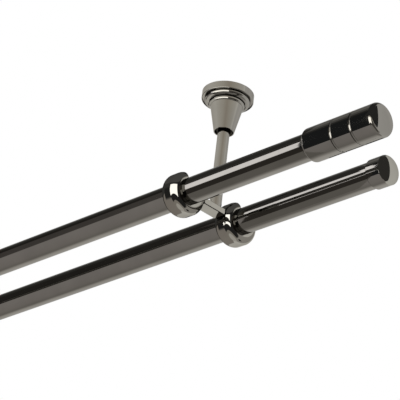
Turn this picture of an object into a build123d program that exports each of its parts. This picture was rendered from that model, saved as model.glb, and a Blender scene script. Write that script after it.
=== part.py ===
from build123d import *
import os
from math import cos, radians, sin

# Double curtain pole for a ceiling: two tubes side by side, each end dressed, hung from two brackets.
# X runs along the poles, -Y is the room side, +Y the window side, +Z is up.
# The origin is the middle of the right bracket's ceiling face. Lengths are in mm, angles in degrees.

# Poles
pole_length = 1200.0
pole_diameter = 25.0
pole_wall = 1.0
pole_spacing = 70.0          # front axis to back axis
pole_overhang = 186.0        # bracket centre to the cut end of a pole
ceiling_drop = 128.0         # ceiling to the pole axes

# Grooved finial on the front pole
finial_diameter = 31.4
finial_length = 82.0
finial_socket_depth = 28.0
finial_shoulder_radius = 3.0
finial_tip_radius = 3.0
finial_crown = 1.0                    # the end face bulges by this much
finial_groove_places = (34.5, 56.5)   # from the shoulder
finial_groove_width = 2.8
finial_groove_depth = 1.2
socket_clearance = 0.1                # all round, between a pole and what slips over it

# Plain cap on the back pole
cap_diameter = 28.0
cap_length = 20.4
cap_socket_depth = 15.4
cap_shoulder_chamfer = 1.2
cap_dome = 5.0

# Cradle that a pole lies in
cradle_width = 21.0
cradle_crown_diameter = 41.6
cradle_edge_diameter = 28.4
cradle_band = 7.0            # plain middle of the crown, between its two rounded shoulders
cradle_sink = 1.2            # the outer ring sits this far below the pole axis
cradle_clearance = 0.2       # all round the pole
lip_angle = 66.0             # front lip's end above the horizontal
rear_wall_angle = 34.0       # rear wall's end above the horizontal
lip_corner_radius = 3.0
lip_corner_spread = 0.6      # the corner's arc would end this far outside the cradle's side
neck_length = 1.2            # between the cradle's crown and the arm
neck_inset = 0.9             # the neck is smaller than the arm by this much all round
neck_corner_radius = 1.4

# Flat arm that joins the two cradles
arm_width = 13.5
arm_height = 6.4
arm_level = 1.1              # arm's middle above the pole axes
arm_chamfer = 0.6
stem_offset = 6.5            # stem behind the middle of the arm

# Stem
stem_diameter = 11.6
spigot_diameter = 6.0
spigot_length = 4.6
thread_clearance = 0.05      # all round, between a threaded piece and its hole
thread_run_out = 0.5         # a blind hole is deeper than its screw by this much

# Ceiling rose: a turned cover that slides up the stem
rose_diameter = 50.0
rose_wall_height = 7.4
rose_edge_radius = 0.8
rose_shell = 2.2
rose_floor = 2.2             # metal left behind the first shadow line
wall_line_width = 2.2        # shadow line between the wall and the rounded ring
wall_line_depth = 1.0
ring_diameter = 36.4         # inner end of the rounded ring under the wall
ring_level = 11.4            # below the ceiling
ring_line_width = 0.9        # shadow line between the rounded ring and the cone's foot
ring_line_depth = 0.8
cone_top_diameter = 31.4
cone_top_level = 14.8
mouth_diameter = 19.6
mouth_level = 42.0
mouth_rim = 0.8
mouth_depth = 5.0
neck_web = 5.0
stem_clearance = 0.15

# Ceiling plate inside the rose
plate_thickness = 3.0
plate_clearance = 0.3
plate_hub_diameter = 14.0
plate_hub_height = 5.0
plate_screw_pitch = 28.0
plate_screw_hole = 4.5

# Screws
cradle_screw_diameter = 5.0
cradle_screw_head = 9.0
cradle_screw_gap = 0.2       # between the back cradle's screw and the stem's spigot
head_clearance = 0.1
head_recess = 0.2            # the head's face lies this far below the pole's seat
cross_width = 1.1
cross_length = 5.0
cross_depth = 1.3
grub_diameter = 4.0
rose_grub_diameter = 3.0
grub_recess = 0.5            # a grub screw's outer end lies this far below the surface
key_size = 1.6               # hexagon socket, across the flats
key_depth = 1.4

pole_radius = pole_diameter / 2
bracket_spacing = pole_length - 2 * pole_overhang
middle_x = -bracket_spacing / 2
front_y = -pole_spacing / 2 - stem_offset
back_y = pole_spacing / 2 - stem_offset
axis_z = -ceiling_drop
arm_z = axis_z + arm_level
arm_top = arm_z + arm_height / 2
socket_radius = pole_radius + socket_clearance
seat_radius = pole_radius + cradle_clearance
crown_radius = cradle_crown_diameter / 2
arm_end = crown_radius + neck_length          # from a pole's axis
stem_radius = stem_diameter / 2
hub_level = plate_thickness + plate_hub_height
bracket_places = {"right": 0.0, "left": -bracket_spacing}
end_directions = {"right": 1, "left": -1}
pole_places = {"front": front_y, "back": back_y}

os.makedirs("parts", exist_ok=True)


def save(piece, name):
    piece.part.label = name
    export_step(piece.part, f"parts/{name}.step")


# A plane whose x runs outward from a pole's cut end and whose y is the radius
def end_plane(pole_y, toward):
    end_x = middle_x + toward * pole_length / 2
    return Plane(origin=(end_x, pole_y, axis_z), x_dir=(toward, 0, 0), z_dir=(0, -toward, 0))


# Poles: plain drawn tubes
for side, pole_y in pole_places.items():
    with BuildPart() as pole:
        with BuildSketch(Plane.YZ.offset(middle_x - pole_length / 2)):
            with Locations((pole_y, axis_z)):
                Circle(pole_radius)
                Circle(pole_radius - pole_wall, mode=Mode.SUBTRACT)
        extrude(amount=pole_length)
    save(pole, f"{side}_pole")

# Finials: turned bars with two round grooves, bored to slip over the front pole and held by a grub screw on top
finial_radius = finial_diameter / 2
finial_shoulder = -finial_socket_depth
finial_tip = finial_length - finial_socket_depth
finial_rim = finial_tip - finial_crown
finial_face_radius = finial_radius - finial_tip_radius
finial_crown_radius = (finial_face_radius**2 + finial_crown**2) / (2 * finial_crown)
for end, toward in end_directions.items():
    plane = end_plane(front_y, toward)
    grub_x = plane.origin.X - toward * finial_socket_depth / 2
    with BuildPart() as finial:
        with BuildSketch(plane):
            with BuildLine():
                Polyline(
                    (finial_tip, 0),
                    (0, 0),
                    (0, socket_radius),
                    (finial_shoulder, socket_radius),
                    (finial_shoulder, finial_radius - finial_shoulder_radius),
                )
                RadiusArc(
                    (finial_shoulder, finial_radius - finial_shoulder_radius),
                    (finial_shoulder + finial_shoulder_radius, finial_radius),
                    finial_shoulder_radius,
                )
                Line((finial_shoulder + finial_shoulder_radius, finial_radius),
                     (finial_rim - finial_tip_radius, finial_radius))
                RadiusArc(
                    (finial_rim - finial_tip_radius, finial_radius),
                    (finial_rim, finial_face_radius),
                    finial_tip_radius,
                )
                RadiusArc((finial_rim, finial_face_radius), (finial_tip, 0), finial_crown_radius)
            make_face()
            for groove in finial_groove_places:
                with Locations((finial_shoulder + groove, finial_radius)):
                    Ellipse(finial_groove_width / 2, finial_groove_depth, mode=Mode.SUBTRACT)
        revolve(axis=Axis(plane.origin, plane.x_dir))
        with BuildSketch(Plane.XY.offset(axis_z + finial_radius)):
            with Locations((grub_x, front_y)):
                Circle(grub_diameter / 2 + thread_clearance)
        extrude(amount=-finial_radius, mode=Mode.SUBTRACT)
    save(finial, f"{end}_finial")

    with BuildPart() as finial_grub:
        with BuildSketch(Plane.XY.offset(axis_z + pole_radius)):
            with Locations((grub_x, front_y)):
                Circle(grub_diameter / 2)
        extrude(amount=finial_radius - grub_recess - pole_radius)
        with BuildSketch(Plane.XY.offset(axis_z + finial_radius - grub_recess)):
            with Locations((grub_x, front_y)):
                RegularPolygon(key_size / 2, 6, major_radius=False)
        extrude(amount=-key_depth, mode=Mode.SUBTRACT)
    save(finial_grub, f"{end}_finial_grub_screw")

# End caps: short turned cups that push over the back pole, with a chamfered shoulder and a domed end
cap_radius = cap_diameter / 2
cap_shoulder = -cap_socket_depth
cap_tip = cap_length - cap_socket_depth
for end, toward in end_directions.items():
    plane = end_plane(back_y, toward)
    with BuildPart() as cap:
        with BuildSketch(plane):
            with BuildLine():
                Polyline(
                    (cap_tip, 0),
                    (0, 0),
                    (0, socket_radius),
                    (cap_shoulder, socket_radius),
                    (cap_shoulder, cap_radius - cap_shoulder_chamfer),
                    (cap_shoulder + cap_shoulder_chamfer, cap_radius),
                    (cap_tip - cap_dome, cap_radius),
                )
                EllipticalCenterArc(center=(cap_tip - cap_dome, 0), x_radius=cap_dome, y_radius=cap_radius,
                                    start_angle=0, arc_size=90)
            make_face()
        revolve(axis=Axis(plane.origin, plane.x_dir))
    save(cap, f"{end}_end_cap")

# Brackets
rose_radius = rose_diameter / 2
ring_top_radius = rose_radius - rose_edge_radius - wall_line_width
ring_radius = ring_diameter / 2
cone_top_radius = cone_top_diameter / 2
mouth_radius = mouth_diameter / 2
mouth_floor = mouth_level - mouth_depth
web_top = mouth_floor - neck_web
cone_slope = (cone_top_radius - mouth_radius) / (mouth_level - cone_top_level)
web_radius = cone_top_radius - cone_slope * (web_top - cone_top_level)
rose_grub_level = web_top + neck_web / 2
rose_grub_radius = cone_top_radius - cone_slope * (rose_grub_level - cone_top_level)
stem_bore = stem_radius + stem_clearance
plate_radius = rose_radius - rose_shell - plate_clearance
spigot_hole = spigot_diameter / 2 + thread_clearance
screw_level = seat_radius + head_recess       # head's face, from a pole's axis
cradle_screw_length = back_y - screw_level - spigot_diameter / 2 - cradle_screw_gap
screw_reach = screw_level + cradle_screw_length

for side, bracket_x in bracket_places.items():
    bracket_plane = Plane(origin=(bracket_x, 0, 0), x_dir=(1, 0, 0), z_dir=(0, -1, 0))

    # Ceiling plate with a threaded hub and two screw holes
    with BuildPart() as plate:
        with BuildSketch(Plane.XY):
            with Locations((bracket_x, 0)):
                Circle(plate_radius)
        extrude(amount=-plate_thickness)
        with BuildSketch(Plane.XY.offset(-plate_thickness)):
            with Locations((bracket_x, 0)):
                Circle(plate_hub_diameter / 2)
        extrude(amount=-plate_hub_height)
        with BuildSketch(Plane.XY.offset(-hub_level)):
            with Locations((bracket_x, 0)):
                Circle(spigot_hole)
        extrude(amount=spigot_length + thread_run_out, mode=Mode.SUBTRACT)
        with BuildSketch(Plane.XY):
            with Locations((bracket_x, 0)):
                with GridLocations(plate_screw_pitch, 0, 2, 1):
                    Circle(plate_screw_hole / 2)
        extrude(amount=-plate_thickness, mode=Mode.SUBTRACT)
    save(plate, f"{side}_ceiling_plate")

    # Rose cover: one turned shell with a wall, a rounded ring, a cone and a mouth, parted by shadow lines
    with BuildPart() as rose:
        with BuildSketch(bracket_plane):
            with BuildLine():
                Polyline(
                    (stem_bore, -web_top),
                    (web_radius - rose_shell, -web_top),
                    (cone_top_radius - rose_shell, -cone_top_level),
                    (ring_radius - rose_shell, -ring_level + rose_shell),
                    (rose_radius - rose_shell, -rose_wall_height + wall_line_depth + rose_floor),
                    (rose_radius - rose_shell, 0),
                    (rose_radius, 0),
                    (rose_radius, -rose_wall_height + rose_edge_radius),
                )
                RadiusArc(
                    (rose_radius, -rose_wall_height + rose_edge_radius),
                    (rose_radius - rose_edge_radius, -rose_wall_height),
                    rose_edge_radius,
                )
                Polyline(
                    (rose_radius - rose_edge_radius, -rose_wall_height),
                    (rose_radius - rose_edge_radius, -rose_wall_height + wall_line_depth),
                    (ring_top_radius, -rose_wall_height + wall_line_depth),
                    (ring_top_radius, -rose_wall_height),
                )
                EllipticalCenterArc(
                    center=(ring_radius, -rose_wall_height),
                    x_radius=ring_top_radius - ring_radius,
                    y_radius=ring_level - rose_wall_height,
                    start_angle=270,
                    arc_size=90,
                )
                Polyline(
                    (ring_radius, -ring_level),
                    (ring_radius, -ring_level + ring_line_depth),
                    (ring_radius - ring_line_width, -ring_level + ring_line_depth),
                    (ring_radius - ring_line_width, -ring_level),
                )
                EllipticalCenterArc(
                    center=(cone_top_radius, -ring_level),
                    x_radius=ring_radius - ring_line_width - cone_top_radius,
                    y_radius=cone_top_level - ring_level,
                    start_angle=270,
                    arc_size=90,
                )
                Polyline(
                    (cone_top_radius, -cone_top_level),
                    (mouth_radius, -mouth_level),
                    (mouth_radius - mouth_rim, -mouth_level),
                    (mouth_radius - mouth_rim, -mouth_floor),
                    (stem_bore, -mouth_floor),
                    (stem_bore, -web_top),
                )
            make_face()
        revolve(axis=Axis((bracket_x, 0, 0), (0, 0, 1)))
        with BuildSketch(Plane.XZ):
            with Locations((bracket_x, -rose_grub_level)):
                Circle(rose_grub_diameter / 2 + thread_clearance)
        extrude(amount=-rose_radius, mode=Mode.SUBTRACT)
    save(rose, f"{side}_rose_cover")

    # Its grub screw, at the window side
    with BuildPart() as rose_grub:
        with BuildSketch(Plane.XZ.offset(-stem_radius)):
            with Locations((bracket_x, -rose_grub_level)):
                Circle(rose_grub_diameter / 2)
        extrude(amount=-(rose_grub_radius - grub_recess - stem_radius))
        with BuildSketch(Plane.XZ.offset(-(rose_grub_radius - grub_recess))):
            with Locations((bracket_x, -rose_grub_level)):
                RegularPolygon(key_size / 2, 6, major_radius=False)
        extrude(amount=key_depth, mode=Mode.SUBTRACT)
    save(rose_grub, f"{side}_rose_grub_screw")

    # Stem: round bar with a threaded spigot at each end
    stem_length = -hub_level - arm_top
    with BuildPart() as stem:
        with BuildSketch(bracket_plane):
            with BuildLine():
                Polyline(
                    (0, arm_top - spigot_length),
                    (spigot_diameter / 2, arm_top - spigot_length),
                    (spigot_diameter / 2, arm_top),
                    (stem_radius, arm_top),
                    (stem_radius, arm_top + stem_length),
                    (spigot_diameter / 2, arm_top + stem_length),
                    (spigot_diameter / 2, arm_top + stem_length + spigot_length),
                    (0, arm_top + stem_length + spigot_length),
                    (0, arm_top - spigot_length),
                )
            make_face()
        revolve(axis=Axis((bracket_x, 0, 0), (0, 0, 1)))
    save(stem, f"{side}_stem")

    # Arm: flat bar, tapped at both ends for the cradles and from above for the stem
    with BuildPart() as arm:
        with BuildSketch(Plane.XZ.offset(-(front_y + arm_end))) as arm_section:
            with Locations((bracket_x, arm_z)):
                Rectangle(arm_width, arm_height)
            chamfer(arm_section.vertices(), arm_chamfer)
        extrude(amount=-(pole_spacing - 2 * arm_end))
        with BuildSketch(Plane.XY.offset(arm_top)):
            with Locations((bracket_x, 0)):
                Circle(spigot_hole)
        extrude(amount=-(spigot_length + thread_run_out), mode=Mode.SUBTRACT)
        for hole_y, inward in ((front_y + arm_end, 1), (back_y - arm_end, -1)):
            with BuildSketch(Plane(origin=(bracket_x, hole_y, arm_z), x_dir=(1, 0, 0), z_dir=(0, inward, 0))):
                Circle(cradle_screw_diameter / 2 + thread_clearance)
            extrude(amount=screw_reach - arm_end + thread_run_out, mode=Mode.SUBTRACT)
    save(arm, f"{side}_arm")

    # Cradles: rings with rounded shoulders, open at the top behind a front lip, with a neck toward the arm
    for place, pole_y in pole_places.items():
        inward = 1 if place == "front" else -1
        ring_plane = Plane(origin=(bracket_x, pole_y, axis_z - cradle_sink), x_dir=(1, 0, 0), z_dir=(0, -1, 0))
        neck_plane = Plane(origin=(bracket_x, pole_y, arm_z), x_dir=(1, 0, 0), z_dir=(0, inward, 0))
        head_plane = Plane(
            origin=(bracket_x, pole_y + inward * screw_level, arm_z), x_dir=(1, 0, 0), z_dir=(0, -inward, 0)
        )
        half_width = cradle_width / 2
        edge_height = cradle_edge_diameter / 2
        shoulder_width = (cradle_width - cradle_band) / 2
        reach = 2 * crown_radius
        opening = (rear_wall_angle, (rear_wall_angle + 180 - lip_angle) / 2, 180 - lip_angle)
        lip_top = (crown_radius - cradle_sink * sin(radians(lip_angle))) * sin(radians(lip_angle))
        with BuildPart() as cradle:
            with BuildSketch(ring_plane):
                with BuildLine():
                    Polyline((-half_width, edge_height), (-half_width, 0), (half_width, 0), (half_width, edge_height))
                    EllipticalCenterArc(center=(cradle_band / 2, edge_height), x_radius=shoulder_width,
                                        y_radius=crown_radius - edge_height, start_angle=0, arc_size=90)
                    Line((cradle_band / 2, crown_radius), (-cradle_band / 2, crown_radius))
                    EllipticalCenterArc(center=(-cradle_band / 2, edge_height), x_radius=shoulder_width,
                                        y_radius=crown_radius - edge_height, start_angle=90, arc_size=90)
                make_face()
            revolve(axis=Axis(ring_plane.origin, (1, 0, 0)))
            with BuildSketch(neck_plane):
                RectangleRounded(arm_width - 2 * neck_inset, arm_height - 2 * neck_inset, neck_corner_radius)
            extrude(amount=arm_end)
            with BuildSketch(Plane.YZ.offset(bracket_x - half_width)):
                with Locations((pole_y, axis_z)):
                    Circle(seat_radius)
            extrude(amount=cradle_width, mode=Mode.SUBTRACT)
            with BuildSketch(Plane.YZ.offset(bracket_x - half_width)):
                with BuildLine():
                    Polyline(
                        (pole_y, axis_z),
                        *[(pole_y + reach * cos(radians(a)), axis_z + reach * sin(radians(a))) for a in opening],
                        (pole_y, axis_z),
                    )
                make_face()
            extrude(amount=cradle_width, mode=Mode.SUBTRACT)
            with BuildSketch(Plane.XZ.offset(reach - pole_y)):
                with Locations((bracket_x, axis_z + lip_top - lip_corner_radius)):
                    Rectangle(2 * cradle_width, reach, align=(Align.CENTER, Align.MIN))
                with Locations((bracket_x, axis_z + lip_top)):
                    RectangleRounded(cradle_width + 2 * lip_corner_spread, reach, lip_corner_radius,
                                     align=(Align.CENTER, Align.MAX), mode=Mode.SUBTRACT)
            extrude(amount=-2 * reach, mode=Mode.SUBTRACT)
            with BuildSketch(head_plane):
                Circle(cradle_screw_head / 2 + head_clearance)
            extrude(amount=seat_radius, mode=Mode.SUBTRACT)
            with Locations(head_plane):
                CounterSinkHole(
                    cradle_screw_diameter / 2 + thread_clearance,
                    cradle_screw_head / 2 + head_clearance,
                    depth=arm_end,
                )
        save(cradle, f"{side}_{place}_cradle")

        # Countersunk screw from inside the cradle into the arm's end
        with BuildPart() as cradle_screw:
            with BuildSketch(Plane(origin=head_plane.origin, x_dir=(1, 0, 0), z_dir=(0, 0, inward))):
                with BuildLine():
                    Polyline(
                        (0, 0),
                        (cradle_screw_head / 2, 0),
                        (cradle_screw_diameter / 2, (cradle_screw_head - cradle_screw_diameter) / 2),
                        (cradle_screw_diameter / 2, cradle_screw_length),
                        (0, cradle_screw_length),
                        close=True,
                    )
                make_face()
            revolve(axis=Axis(head_plane.origin, (0, 1, 0)))
            with BuildSketch(head_plane):
                Rectangle(cross_length, cross_width)
                Rectangle(cross_width, cross_length)
            extrude(amount=-cross_depth, mode=Mode.SUBTRACT)
        save(cradle_screw, f"{side}_{place}_cradle_screw")
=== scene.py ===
import bpy
import math
from mathutils import Matrix, Vector


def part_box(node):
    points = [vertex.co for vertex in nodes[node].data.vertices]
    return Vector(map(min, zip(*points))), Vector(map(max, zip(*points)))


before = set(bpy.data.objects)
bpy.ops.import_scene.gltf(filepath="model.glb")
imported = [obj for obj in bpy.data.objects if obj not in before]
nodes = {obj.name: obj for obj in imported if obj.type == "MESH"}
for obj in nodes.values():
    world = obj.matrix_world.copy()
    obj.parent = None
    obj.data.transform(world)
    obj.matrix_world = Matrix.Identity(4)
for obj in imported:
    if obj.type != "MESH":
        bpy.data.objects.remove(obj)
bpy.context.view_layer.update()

scene = bpy.context.scene
print("frame loaded:", len(nodes), "nodes")


# Helpers for node trees

def freshTree(name):
    material = bpy.data.materials.new(name)
    material.use_nodes = True
    tree = material.node_tree
    tree.nodes.clear()
    output = tree.nodes.new("ShaderNodeOutputMaterial")
    return material, tree, output


def addNode(tree, kind, inputs=None, **settings):
    node = tree.nodes.new(kind)
    for key, value in settings.items():
        setattr(node, key, value)
    for key, value in (inputs or {}).items():
        if isinstance(value, bpy.types.NodeSocket):
            tree.links.new(value, node.inputs[key])
        else:
            node.inputs[key].default_value = value
    return node


def addMath(tree, operation, *values):
    return addNode(tree, "ShaderNodeMath", dict(enumerate(values)), operation=operation).outputs[0]


# stretches the values from low to high over those from start to end, and holds them outside
def addRange(tree, value, low, high, start=0.0, end=1.0):
    inputs = {"Value": value, "From Min": low, "From Max": high, "To Min": start, "To Max": end}
    return addNode(tree, "ShaderNodeMapRange", inputs).outputs[0]


def addColourMix(tree, factor, under, over):
    return addNode(tree, "ShaderNodeMix", {0: factor, 6: under, 7: over}, data_type="RGBA").outputs[2]


def addRamp(tree, factor, stops):
    node = addNode(tree, "ShaderNodeValToRGB", {"Fac": factor})
    ramp = node.color_ramp
    while len(ramp.elements) < len(stops):
        ramp.elements.new(0.5)
    for element, (place, colour) in zip(ramp.elements, stops):
        element.position = place
        element.color = (*colour, 1)
    return node.outputs["Color"]


def shaded(colour, factor):
    return tuple(min(1.0, part * factor) for part in colour)


# Finishes

# polished dark nickel on turned and drawn brass: a warm grey mirror with marks that only show up close
darkNickel = {
    "colour": (0.300, 0.290, 0.268),
    "edgeTint": (0.62, 0.61, 0.60),
    "cloudScale": 26.0,
    "cloudRange": (0.35, 0.65),
    "cloudSpread": 0.05,
    "roughness": 0.02,
    "roughnessWander": 0.02,
    "markScale": 900.0,
    "markRange": (0.3, 0.75),
    "markStrength": 0.004,
    "markDepth": 0.0004,
}
# the castings and the arm are polished smoother still, and show no marks in their gloss
mirrorNickel = dict(darkNickel, roughness=0.0, roughnessWander=0.0, markScale=420.0)


def makeNickel(name, spec, stretch, tone=1.0):
    material, tree, output = freshTree(name)
    place = addNode(tree, "ShaderNodeTexCoord").outputs["Object"]
    # polishing marks run along a drawn tube and round a turned piece, so the noise is stretched that way
    stretched = addNode(tree, "ShaderNodeMapping", {"Vector": place, "Scale": stretch}).outputs[0]
    marks = addNode(tree, "ShaderNodeTexNoise",
                    {"Vector": stretched, "Scale": spec["markScale"], "Detail": 4.0, "Roughness": 0.6})
    clouds = addNode(tree, "ShaderNodeTexNoise",
                     {"Vector": place, "Scale": spec["cloudScale"], "Detail": 3.0, "Roughness": 0.55})
    darker = shaded(spec["colour"], tone * (1 - spec["cloudSpread"]))
    lighter = shaded(spec["colour"], tone * (1 + spec["cloudSpread"]))
    colour = addRamp(tree, clouds.outputs["Fac"], list(zip(spec["cloudRange"], (darker, lighter))))
    roughness = spec["roughness"]
    if spec["roughnessWander"]:
        roughness = addRange(tree, marks.outputs["Fac"], *spec["markRange"],
                             roughness, roughness + spec["roughnessWander"])
    bump = addNode(tree, "ShaderNodeBump",
                   {"Strength": spec["markStrength"], "Distance": spec["markDepth"],
                    "Height": marks.outputs["Fac"]})
    shader = addNode(tree, "ShaderNodeBsdfPrincipled",
                     {"Base Color": colour, "Metallic": 1.0, "Roughness": roughness,
                      "Specular Tint": (*spec["edgeTint"], 1), "Normal": bump.outputs[0]})
    tree.links.new(shader.outputs[0], output.inputs[0])
    return material


# plated steel: zinc on the ceiling plates, blackened on the screws, duller than the nickel
platedSteel = {
    "zinc": (0.46, 0.46, 0.45),
    "blackened": (0.045, 0.045, 0.048),
    "grainScale": 520.0,
    "grainRange": (0.3, 0.7),
    "grainShades": (0.82, 1.14),
    "roughness": (0.26, 0.42),
    "grainStrength": 0.08,
    "grainDepth": 0.0002,
}


def makeSteel(name, spec, colour):
    material, tree, output = freshTree(name)
    place = addNode(tree, "ShaderNodeTexCoord").outputs["Object"]
    grain = addNode(tree, "ShaderNodeTexNoise",
                    {"Vector": place, "Scale": spec["grainScale"], "Detail": 5.0, "Roughness": 0.65})
    shades = [shaded(colour, factor) for factor in spec["grainShades"]]
    tone = addRamp(tree, grain.outputs["Fac"], list(zip(spec["grainRange"], shades)))
    roughness = addRange(tree, grain.outputs["Fac"], 0.0, 1.0, *spec["roughness"])
    bump = addNode(tree, "ShaderNodeBump",
                   {"Strength": spec["grainStrength"], "Distance": spec["grainDepth"],
                    "Height": grain.outputs["Fac"]})
    shader = addNode(tree, "ShaderNodeBsdfPrincipled",
                     {"Base Color": tone, "Metallic": 1.0, "Roughness": roughness, "Normal": bump.outputs[0]})
    tree.links.new(shader.outputs[0], output.inputs[0])
    return material


poleNickel = makeNickel("dark nickel, drawn tube", darkNickel, (0.01, 1.0, 1.0))
turnedNickel = makeNickel("dark nickel, turned ends", darkNickel, (1.0, 0.04, 0.04))
roseNickel = makeNickel("dark nickel, turned rose and stem", darkNickel, (0.04, 0.04, 1.0), tone=0.98)
castNickel = makeNickel("dark nickel, mirror casting", mirrorNickel, (0.04, 1.0, 0.04))
zincSteel = makeSteel("plated steel plate", platedSteel, platedSteel["zinc"])
blackSteel = makeSteel("blackened steel screws", platedSteel, platedSteel["blackened"])

# each piece by the end of its node's name; where two endings fit, the longer one counts
finishes = {
    "pole": (poleNickel, "pole_tube"),
    "finial": (turnedNickel, "turned_ends"),
    "end_cap": (turnedNickel, "turned_ends"),
    "grub_screw": (blackSteel, "screw_steel"),
    "cradle_screw": (blackSteel, "screw_steel"),
    "cradle": (castNickel, "bracket_metal"),
    "arm": (castNickel, "bracket_metal"),
    "stem": (roseNickel, "bracket_metal"),
    "rose_cover": (roseNickel, "bracket_metal"),
    "ceiling_plate": (zincSteel, "plated_steel"),
}

for nodeName, node in nodes.items():
    kind = max((ending for ending in finishes if nodeName.endswith(ending)), key=len)
    material, slotName = finishes[kind]
    node.data.materials.clear()
    node.data.materials.append(material)
print("finishes given")


# Stage: a pale floor, a tent of light, and the cards that the polished metal mirrors

def middleOf(name):
    low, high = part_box(name)
    return (low + high) / 2


frontAxis = middleOf("front_pole")
backAxis = middleOf("back_pole")
stemAxis = middleOf("right_stem")


def hangMesh(name, points, faces, material):
    mesh = bpy.data.meshes.new(name)
    mesh.from_pydata(points, [], faces)
    mesh.materials.append(material)
    item = bpy.data.objects.new(name, mesh)
    scene.collection.objects.link(item)
    return item


# a card is there for mirrors alone: no camera sees it, and it lights and shades nothing else
def hangCard(name, points, faces, material):
    card = hangMesh(name, points, faces, material)
    card.visible_camera = False
    card.visible_diffuse = False
    card.visible_shadow = False


# the angles in radians from the first to the last one in degrees
def sweep(angles, steps):
    first, last = angles
    return [math.radians(first + (last - first) * i / steps) for i in range(steps + 1)]


# the faces of a strip whose points come in pairs, one pair for each step and one more
def stripFaces(steps):
    return [(2 * i, 2 * i + 2, 2 * i + 3, 2 * i + 1) for i in range(steps)]


floorLook = {
    "level": -1.75,
    "size": 14.0,
    "tones": (0.87, 0.89),
    "mottleScale": 3.0,
    "roughness": 0.9,
    "lift": 0.22,       # the camera alone sees this much on top, to near white, with the shadows still there
}


def paleFloor(spec):
    material, tree, output = freshTree("pale floor")
    place = addNode(tree, "ShaderNodeTexCoord").outputs["Object"]
    mottling = addNode(tree, "ShaderNodeTexNoise",
                       {"Vector": place, "Scale": spec["mottleScale"], "Detail": 3.0})
    darker, lighter = spec["tones"]
    colour = addRamp(tree, mottling.outputs["Fac"], [(0.3, (darker,) * 3), (0.7, (lighter,) * 3)])
    shader = addNode(tree, "ShaderNodeBsdfPrincipled", {"Base Color": colour, "Roughness": spec["roughness"]})
    toCamera = addNode(tree, "ShaderNodeLightPath").outputs["Is Camera Ray"]
    strength = addMath(tree, "MULTIPLY", toCamera, spec["lift"])
    lift = addNode(tree, "ShaderNodeEmission", {"Strength": strength})
    lifted = addNode(tree, "ShaderNodeAddShader", {0: shader.outputs[0], 1: lift.outputs[0]})
    tree.links.new(lifted.outputs[0], output.inputs[0])
    half, z = spec["size"] / 2, spec["level"]
    corners = [(-half, -half, z), (half, -half, z), (half, half, z), (-half, half, z)]
    floor = hangMesh("floor", corners, [(0, 1, 2, 3)], material)
    floor.visible_glossy = False


anyDistance = (0.0, 100.0)


def cardMaterial(name, spec, hollowOnly=False):
    material, tree, output = freshTree(name)
    glow = addNode(tree, "ShaderNodeEmission", {"Color": (*spec["glow"], 1), "Strength": spec["strength"]})
    clear = addNode(tree, "ShaderNodeBsdfTransparent")
    rays = addNode(tree, "ShaderNodeLightPath").outputs
    nearest, farthest = spec.get("seenFrom", anyDistance)
    # the mirror-smooth castings look past every card, and so does whatever is too near it or too far off
    reasons = [
        rays["Is Singular Ray"],
        addMath(tree, "LESS_THAN", rays["Ray Length"], nearest),
        addMath(tree, "GREATER_THAN", rays["Ray Length"], farthest),
    ]
    if hollowOnly:
        # a small one shows its hollow side alone, and not to a mirror seen in another mirror
        hollowSide = addNode(tree, "ShaderNodeNewGeometry").outputs["Backfacing"]
        reasons.append(addMath(tree, "SUBTRACT", 1.0, hollowSide))
        reasons.append(addMath(tree, "GREATER_THAN", rays["Glossy Depth"], 1.5))
    lookPast = reasons[0]
    for reason in reasons[1:]:
        lookPast = addMath(tree, "MAXIMUM", lookPast, reason)
    seen = addNode(tree, "ShaderNodeMixShader", {0: lookPast, 1: glow.outputs[0], 2: clear.outputs[0]})
    tree.links.new(seen.outputs[0], output.inputs[0])
    return material


# the cards bend round both poles: 90 degrees is up and 180 the room side, and x says how far along they go.
# "seenFrom" is how long a mirrored ray may be that meets the card. In the photograph's view one of 0.64 or
# more comes from a pole and not from the stem or the rose, one of 0.706 or more from the back pole alone, and
# on the left one of up to 0.77 from the front pole alone
archCards = {
    "softboxCard": {"x": (-0.468, -0.251), "turn": (154, 190), "seenFrom": (0.655, 100.0),
                    "glow": (1.0, 0.985, 1.0), "strength": 1.88},
    "softboxBack": {"x": (-0.468, -0.240), "turn": (146, 154.5), "seenFrom": (0.706, 100.0), "radius": 0.565,
                    "glow": (1.0, 0.985, 1.0), "strength": 1.88},
    "softboxCap": {"x": (-0.262, -0.240), "turn": (138, 190), "seenFrom": (0.706, 100.0), "radius": 0.56,
                   "glow": (1.0, 0.985, 1.0), "strength": 2.1},
    "flagLeft": {"x": (-2.0, -0.468), "turn": (116, 182), "glow": (1.0, 0.93, 0.86), "strength": 0.04},
    "browLeft": {"x": (-2.0, -0.468), "turn": (138, 182), "seenFrom": (0.0, 0.77), "radius": 0.565,
                 "glow": (1.0, 0.92, 0.88), "strength": 0.12},
    "flagAbove": {"x": (-0.468, -0.251), "turn": (134, 154), "seenFrom": (0.655, 100.0),
                  "glow": (1.0, 0.95, 0.9), "strength": 0.08},
    "flagBelow": {"x": (-0.468, -0.251), "turn": (192, 232), "seenFrom": (0.655, 100.0),
                  "glow": (1.0, 0.90, 0.80), "strength": 0.06},
    "greyBelow": {"x": (-0.468, -0.251), "turn": (232, 288), "glow": (1.0, 0.95, 0.88), "strength": 0.27},
    "flagRight": {"x": (-0.251, -0.10), "turn": (134, 222), "seenFrom": (0.64, 100.0),
                  "glow": (0.93, 1.0, 1.06), "strength": 0.03},
    "skyRightHigh": {"x": (-0.251, -0.10), "turn": (84, 106), "glow": (1.0, 0.99, 0.95), "strength": 0.33},
    "skyRight": {"x": (-0.251, -0.10), "turn": (106, 122), "glow": (1.0, 0.99, 0.95), "strength": 0.17},
}
archRadius = 0.57       # how far the cards stand from the line midway between the poles
cardSteps = 24


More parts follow.
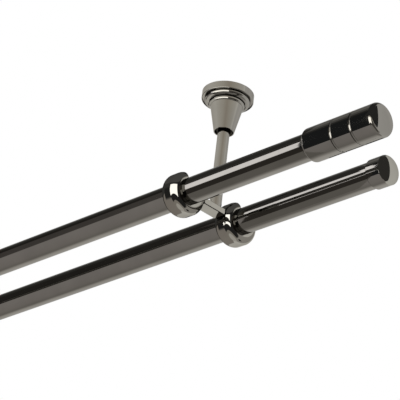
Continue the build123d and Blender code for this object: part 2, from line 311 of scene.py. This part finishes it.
def archCard(name, spec):
    axis = (frontAxis + backAxis) / 2
    radius = spec.get("radius", archRadius)
    points = []
    for angle in sweep(spec["turn"], cardSteps):
        y, z = axis.y + radius * math.cos(angle), axis.z + radius * math.sin(angle)
        points += [(x, y, z) for x in spec["x"]]
    hangCard(name, points, stripFaces(cardSteps), cardMaterial(name, spec))


# small shells round the right ends, a little way in from the end of a piece: heading 0 is straight into the
# room and 90 toward +X, and rise is the sine of the height angle. Without them the rounded ends mirror the
# light that is meant for the stem
endShades = {
    "finialShade": {"piece": "right_finial", "inset": 0.004, "radius": 0.05, "seenFrom": (0.0, 0.1),
                    "heading": (-30, 118), "rise": (0.03, 0.97), "glow": (1.0, 1.0, 1.0), "strength": 0.05},
    "capShade": {"piece": "right_end_cap", "inset": 0.005, "radius": 0.045, "seenFrom": (0.0, 0.1),
                 "heading": (-14, 121), "rise": (-0.97, 0.97), "glow": (1.0, 0.97, 0.92), "strength": 0.07},
    "capGlow": {"piece": "right_end_cap", "inset": 0.005, "radius": 0.045, "seenFrom": (0.0, 0.1),
                "heading": (121, 215), "rise": (-0.97, 0.97), "glow": (1.0, 1.0, 0.95), "strength": 1.10},
}
shadeRows = 12


def endShade(name, spec):
    centre = middleOf(spec["piece"])
    centre.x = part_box(spec["piece"])[1].x - spec["inset"]
    turns = sweep(spec["heading"], cardSteps)
    lowest, highest = (math.degrees(math.asin(rise)) for rise in spec["rise"])
    points = []
    for lift in sweep((lowest, highest), shadeRows):
        for turn in turns:
            way = Vector((math.sin(turn) * math.cos(lift), -math.cos(turn) * math.cos(lift), math.sin(lift)))
            points.append(centre + spec["radius"] * way)
    row = len(turns)
    corners = [j * row + i for j in range(shadeRows) for i in range(cardSteps)]
    faces = [(c, c + 1, c + row + 1, c + row) for c in corners]
    hangCard(name, points, faces, cardMaterial(name, spec, hollowOnly=True))


# pale sleeves round the right stem, cone and rose, on the side that would mirror the dark cards, with headings
# counted as above
sleeves = {
    "stemSleeve": {"radius": 0.034, "levels": (-0.105, -0.02), "heading": (-135, -34),
                   "seenFrom": (0.0, 0.045), "glow": (1.02, 1.0, 0.94), "strength": 1.0},
    "coneSleeve": {"radius": 0.026, "levels": (-0.042, -0.0105), "heading": (-135, -14),
                   "seenFrom": (0.0095, 0.022), "glow": (1.02, 1.0, 0.94), "strength": 1.0},
    "wallSleeve": {"radius": 0.034, "levels": (-0.004, 0.012), "heading": (-135, -9),
                   "seenFrom": (0.0, 0.03), "glow": (1.02, 1.0, 0.94), "strength": 1.0},
}


def sleeve(name, spec):
    points = []
    for turn in sweep(spec["heading"], cardSteps):
        x, y = stemAxis.x + spec["radius"] * math.sin(turn), stemAxis.y - spec["radius"] * math.cos(turn)
        points += [(x, y, z) for z in spec["levels"]]
    hangCard(name, points, stripFaces(cardSteps), cardMaterial(name, spec, hollowOnly=True))


# light between the poles, on both sides of the bracket, for the front pole's lower edge alone, which would
# mirror the back pole as a thin dark line
gapGlow = {
    "spans": ((-0.80, -0.02), (0.02, 0.155)),
    "behind": 0.0315,                 # from the front pole's axis
    "levels": (-0.014, 0.001),        # from the same axis
    "seenFrom": (0.0, 0.06),
    "glow": (1.0, 0.99, 0.96),
    "strength": 1.0,
}


def gapCard(name, span, spec):
    y = frontAxis.y + spec["behind"]
    z0, z1 = (frontAxis.z + level for level in spec["levels"])
    points = [(x, y, z) for x in span for z in (z0, z1)]
    hangCard(name, points, [(0, 1, 3, 2)], cardMaterial(name, spec, hollowOnly=True))


paleFloor(floorLook)
for cardName, spec in archCards.items():
    archCard(cardName, spec)
for shadeName, spec in endShades.items():
    endShade(shadeName, spec)
for sleeveName, spec in sleeves.items():
    sleeve(sleeveName, spec)
for number, span in enumerate(gapGlow["spans"]):
    gapCard(f"gapGlow{number}", span, gapGlow)
print("floor and cards in place")


tentLook = {
    # what the poles see, by the angle round them: 0 toward the window, 1/4 up, 1/2 toward the room, 3/4 down
    "poleRing": [
        (0.00, (1.00, 1.00, 0.98)),
        (0.10, (0.80, 0.80, 0.78)),
        (0.20, (0.34, 0.34, 0.33)),
        (0.26, (0.075, 0.075, 0.072)),
        (0.38, (0.052, 0.050, 0.047)),
        (0.49, (0.11, 0.105, 0.096)),
        (0.515, (0.445, 0.42, 0.41)),
        (0.60, (0.44, 0.415, 0.405)),
        (0.74, (0.41, 0.385, 0.37)),
        (0.825, (0.34, 0.325, 0.305)),
        (0.862, (0.60, 0.58, 0.55)),
        (0.895, (0.86, 0.84, 0.81)),
        (0.96, (1.00, 0.99, 0.96)),
    ],
    # what the stem and the rose's wall see, by heading: 1/2 straight into the room, growing toward +X
    "stemRing": [
        (0.00, (1.00, 0.99, 0.96)),
        (0.20, (1.10, 1.08, 1.02)),
        (0.40, (1.00, 0.98, 0.92)),
        (0.56, (0.80, 0.76, 0.68)),
        (0.63, (0.66, 0.60, 0.52)),
        (0.70, (0.76, 0.72, 0.64)),
        (0.80, (0.85, 0.83, 0.78)),
        (0.87, (1.20, 1.19, 1.14)),
        (1.00, (1.00, 0.99, 0.96)),
    ],
    "stemBand": {"heading": (-125, 124), "rise": (0.03, 0.53), "soft": (1, 0.02)},
    # patches of the tent, each laid over those before it, with headings in degrees and rises as sines
    "tentPatches": [
        {"heading": (-37, 200), "rise": (-1.2, 1.2), "glow": (0.40, 0.385, 0.36), "soft": (3, 0.02)},
        {"heading": (-37, 200), "rise": (0.52, 1.2), "glow": (0.22, 0.22, 0.215), "soft": (4, 0.03)},
        {"heading": (38, 116), "rise": (-0.34, 0.02), "glow": (0.14, 0.13, 0.12), "soft": (5, 0.03)},
        {"heading": (-37, 116), "rise": (-0.72, -0.36), "glow": (0.12, 0.11, 0.10), "soft": (5, 0.04)},
        {"heading": (-33, 48), "rise": (-0.52, 0.02), "glow": (3.2, 3.15, 3.0), "soft": (3, 0.02)},
        {"heading": (124, 200), "rise": (-0.60, 0.75), "glow": (0.84, 0.83, 0.81), "soft": (3, 0.06)},
        {"heading": (151, 200), "rise": (-0.50, 0.80), "glow": (0.92, 0.91, 0.89), "soft": (6, 0.06)},
    ],
    # what the castings and the arm see instead, over a sky of its own
    "cradleSky": (0.17, 0.17, 0.165),
    "cradlePatches": [
        {"heading": (-200, 200), "rise": (-1.2, -0.72), "glow": (0.52, 0.49, 0.44), "soft": (5, 0.04)},
        {"heading": (-200, 200), "rise": (-1.2, -0.90), "glow": (0.90, 0.88, 0.82), "soft": (5, 0.03)},
        {"heading": (-200, -126), "rise": (-0.90, 0.52), "glow": (1.15, 1.14, 1.08), "soft": (6, 0.05)},
        {"heading": (-126, -45), "rise": (-0.76, 0.05), "glow": (0.50, 0.46, 0.42), "soft": (6, 0.05)},
        {"heading": (-126, -40), "rise": (0.06, 0.60), "glow": (0.09, 0.09, 0.088), "soft": (6, 0.05)},
        {"heading": (-45, 118), "rise": (-0.72, 0.60), "glow": (0.04, 0.04, 0.04), "soft": (3, 0.04)},
        {"heading": (118, 200), "rise": (-0.86, 0.62), "glow": (0.62, 0.60, 0.56), "soft": (6, 0.05)},
        {"heading": (122, 144), "rise": (0.40, 0.54), "glow": (1.15, 1.14, 1.08), "soft": (4, 0.03)},
        {"heading": (130, 154), "rise": (-0.74, -0.56), "glow": (0.03, 0.03, 0.03), "soft": (4, 0.04)},
        {"heading": (-38, 70), "rise": (-0.27, 0.49), "glow": (3.6, 3.6, 3.5), "soft": (2, 0.015)},
    ],
    "plain": (0.95, 0.95, 0.95),      # the even light on what is not metal
    "plainStrength": 0.9,
    "secondGlance": 0.35,             # how bright the tent is to a mirror that is seen in another mirror
}


def heldBetween(tree, value, low, high, soft):
    rise = addRange(tree, value, low - soft / 2, low + soft / 2)
    fall = addRange(tree, value, high + soft / 2, high - soft / 2)
    return addMath(tree, "MULTIPLY", rise, fall)


def patchMask(tree, patch, heading, rise):
    across = heldBetween(tree, heading, *patch["heading"], patch["soft"][0])
    up = heldBetween(tree, rise, *patch["rise"], patch["soft"][1])
    return addMath(tree, "MULTIPLY", across, up)


def layPatches(tree, colour, patches, heading, rise):
    for patch in patches:
        colour = addColourMix(tree, patchMask(tree, patch, heading, rise), colour, (*patch["glow"], 1))
    return colour


def tentWorld(spec):
    world = bpy.data.worlds.new("tent")
    scene.world = world
    world.use_nodes = True
    tree = world.node_tree
    tree.nodes.clear()
    output = addNode(tree, "ShaderNodeOutputWorld")
    rays = addNode(tree, "ShaderNodeLightPath").outputs
    direction = addNode(tree, "ShaderNodeTexCoord").outputs["Generated"]
    dx, dy, dz = addNode(tree, "ShaderNodeSeparateXYZ", {0: direction}).outputs

    fullTurn = 1 / (2 * math.pi)
    poleAngle = addMath(tree, "ARCTAN2", dz, dy)
    poleTurn = addMath(tree, "FRACT", addMath(tree, "MULTIPLY_ADD", poleAngle, fullTurn, 1.0))
    headingAngle = addMath(tree, "ARCTAN2", dx, addMath(tree, "MULTIPLY", dy, -1.0))
    heading = addMath(tree, "MULTIPLY", headingAngle, math.degrees(1))
    stemTurn = addMath(tree, "MULTIPLY_ADD", headingAngle, fullTurn, 0.5)

    poleView = addRamp(tree, poleTurn, spec["poleRing"])
    stemView = addRamp(tree, stemTurn, spec["stemRing"])
    tent = layPatches(tree, poleView, spec["tentPatches"], heading, dz)
    tent = addColourMix(tree, patchMask(tree, spec["stemBand"], heading, dz), tent, stemView)
    cradleTent = layPatches(tree, (*spec["cradleSky"], 1), spec["cradlePatches"], heading, dz)
    mirrored = addColourMix(tree, rays["Is Singular Ray"], tent, cradleTent)

    dimming = addRange(tree, rays["Glossy Depth"], 1.0, 2.0, 1.0, spec["secondGlance"])
    plain = addNode(tree, "ShaderNodeBackground",
                    {"Color": (*spec["plain"], 1), "Strength": spec["plainStrength"]})
    glossy = addNode(tree, "ShaderNodeBackground", {"Color": mirrored, "Strength": dimming})
    white = addNode(tree, "ShaderNodeBackground", {"Color": (1, 1, 1, 1), "Strength": 1.0})
    lit = addNode(tree, "ShaderNodeMixShader",
                  {0: rays["Is Glossy Ray"], 1: plain.outputs[0], 2: glossy.outputs[0]})
    shown = addNode(tree, "ShaderNodeMixShader",
                    {0: rays["Is Camera Ray"], 1: lit.outputs[0], 2: white.outputs[0]})
    tree.links.new(shown.outputs[0], output.inputs[0])


tentWorld(tentLook)
print("tent of light set")


# Camera: it looks up at the part from the room, right of the bracket

cameraView = {
    "azimuth": 47.489,
    "elevation": -28.0,
    "roll": 6.842,
    "place": (1.325046, -1.234634, -1.080330),
    "focalPixels": 2200.0,            # in pixels of the photograph, which is photoPixels wide
    "photoPixels": 400,
    "sensorWidth": 36.0,
    "clip": (0.05, 50.0),
}


def makeCamera(spec):
    azimuth, elevation, roll = (math.radians(spec[key]) for key in ("azimuth", "elevation", "roll"))
    level = math.cos(elevation)
    back = Vector((math.sin(azimuth) * level, -math.cos(azimuth) * level, math.sin(elevation)))
    right = (-back).cross(Vector((0, 0, 1))).normalized()
    up = right.cross(-back)
    rolledRight = math.cos(roll) * right + math.sin(roll) * up
    rolledUp = -math.sin(roll) * right + math.cos(roll) * up
    data = bpy.data.cameras.new("camera")
    data.sensor_width = spec["sensorWidth"]
    data.lens = spec["focalPixels"] * spec["sensorWidth"] / spec["photoPixels"]
    data.clip_start, data.clip_end = spec["clip"]
    camera = bpy.data.objects.new("camera", data)
    turned = Matrix((rolledRight, rolledUp, back)).transposed().to_4x4()
    camera.matrix_world = Matrix.Translation(spec["place"]) @ turned
    scene.collection.objects.link(camera)
    scene.camera = camera


makeCamera(cameraView)
scene.view_settings.view_transform = "Standard"
print("camera placed")
